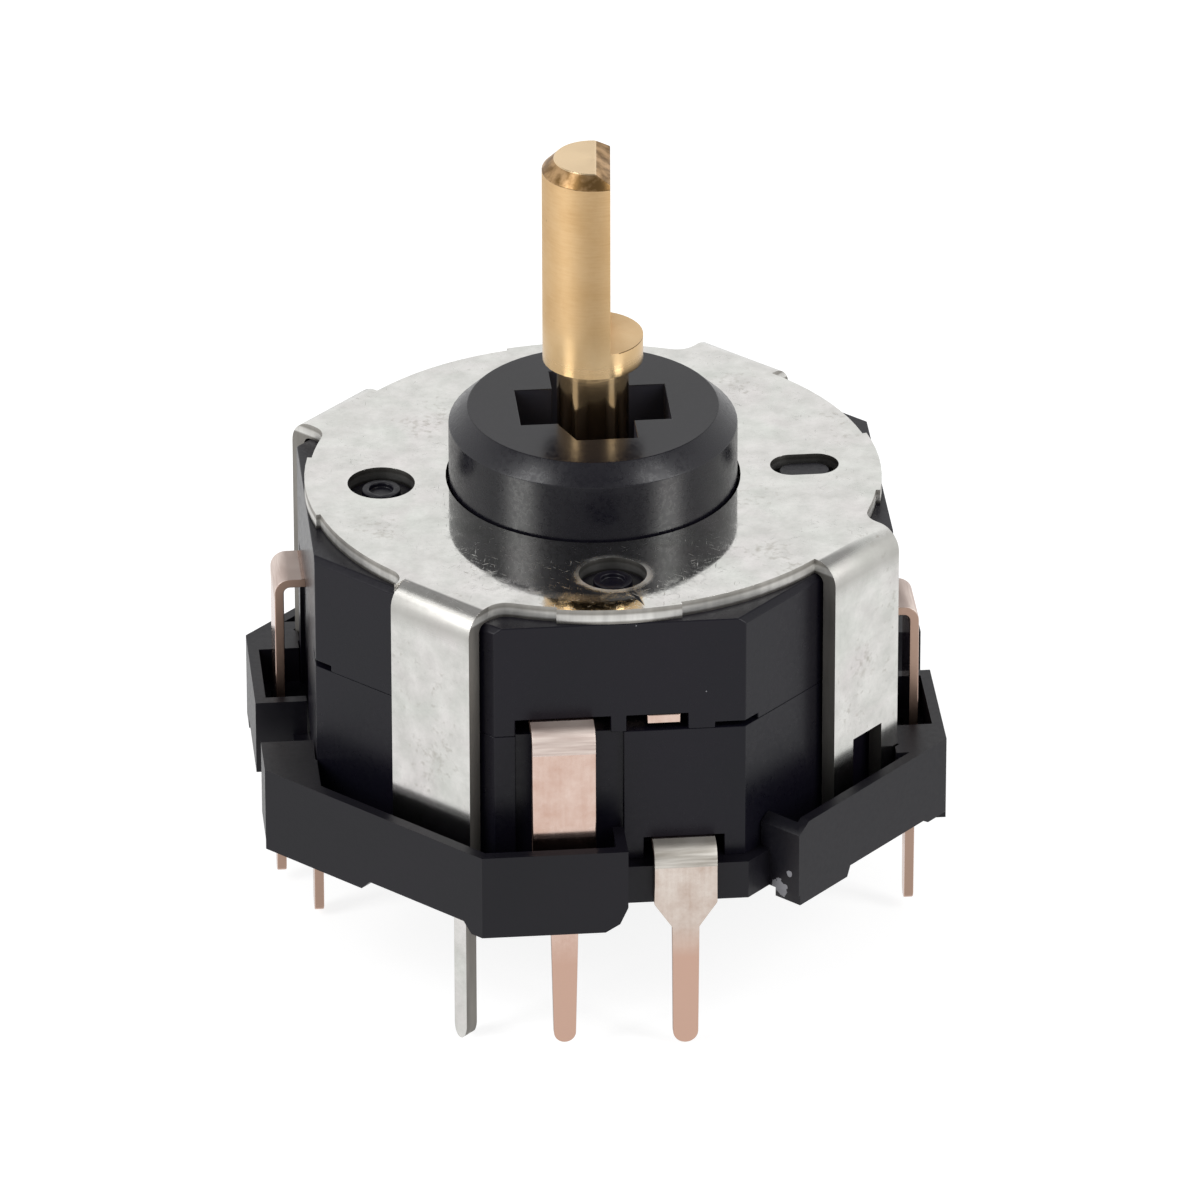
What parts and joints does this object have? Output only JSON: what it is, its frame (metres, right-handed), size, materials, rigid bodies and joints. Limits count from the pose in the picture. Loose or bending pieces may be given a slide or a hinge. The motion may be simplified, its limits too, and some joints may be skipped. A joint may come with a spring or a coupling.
{
  "type": "navigation switch",
  "caption": "Round board-mounted navigation switch: rotary ring, and a D-flatted brass shaft that tilts, turns and pushes, under a folded metal cover.",
  "frame": {"origin": "shaft axis in the plane of the circuit board's face, where the standoff feet stand", "axes": "+Z along the shaft, away from the board; -Y towards the side with the front terminals, +X towards the cover's oblong hole"},
  "size_m": [0.0218, 0.0218, 0.0265],
  "materials": {
    "zinc_plate": "bright zinc plating on rolled sheet",
    "black_plastic": "moulded, satin",
    "rotor_plastic": "moulded, satin",
    "natural_plastic": "moulded, natural",
    "brass": "turned",
    "terminal_copper": "tin-flashed copper alloy, dull",
    "spring_steel": "plain",
    "contact_bronze": "plain"
  },
  "bodies": {
    "case": {"cover": "zinc_plate", "upper_case": "black_plastic", "middle_case": "black_plastic", "base": "black_plastic", "code_plate": "black_plastic", "code_ring": "contact_bronze", "detent_spring": "spring_steel", "encoder_terminal_front": "terminal_copper", "encoder_terminal_right": "terminal_copper", "encoder_terminal_left": "terminal_copper", "switch_terminal_front": "terminal_copper", "switch_terminal_left": "terminal_copper", "switch_terminal_right": "terminal_copper", "switch_terminal_back_near": "terminal_copper", "switch_terminal_back_middle": "terminal_copper", "switch_terminal_back_far": "terminal_copper", "gimbal_outer_pins": "spring_steel", "return_spring": "spring_steel", "direction_dome_east": "spring_steel", "direction_dome_north": "spring_steel", "direction_dome_west": "spring_steel", "direction_dome_south": "spring_steel", "centre_dome": "spring_steel", "contact_pads": "contact_bronze"},
    "ring": {"rotor": "rotor_plastic", "brush": "contact_bronze"},
    "gimbal": {"gimbal_ring": "natural_plastic", "gimbal_inner_pins": "spring_steel"},
    "carrier": {"tilt_carrier": "natural_plastic"},
    "sleeve": {"drive_sleeve": "rotor_plastic", "sleeve_washer": "spring_steel"},
    "shaft": {"shaft": "brass", "shaft_clip": "spring_steel", "push_tip": "natural_plastic"}
  },
  "joints": [
    {"name": "tilt_front_back", "type": "hinge", "parent": "case", "child": "gimbal", "pos_m": [0, 0, 0.007], "axis": [1, 0, 0], "range_deg": [-3, 3], "stiffness_Nm_per_rad": 0.06, "deforming": ["return_spring"]},
    {"name": "tilt_left_right", "type": "hinge", "parent": "gimbal", "child": "carrier", "pos_m": [0, 0, 0.007], "axis": [0, 1, 0], "range_deg": [-3, 3], "stiffness_Nm_per_rad": 0.06},
    {"name": "shaft_turn", "type": "hinge", "parent": "carrier", "child": "sleeve", "pos_m": [0, 0, 0.007], "axis": [0, 0, 1], "continuous": true},
    {"name": "shaft_push", "type": "slide", "parent": "sleeve", "child": "shaft", "axis": [0, 0, -1], "range_m": [0, 0.0005], "stiffness_N_per_m": 600, "springref_m": -0.0005},
    {"name": "ring_turn", "type": "hinge", "parent": "case", "child": "ring", "pos_m": [0, 0, 0.007], "axis": [0, 0, 1], "continuous": true}
  ],
  "couplings": [
    {"joint": "shaft_turn", "follows": "ring_turn", "ratio": 1}
  ]
}
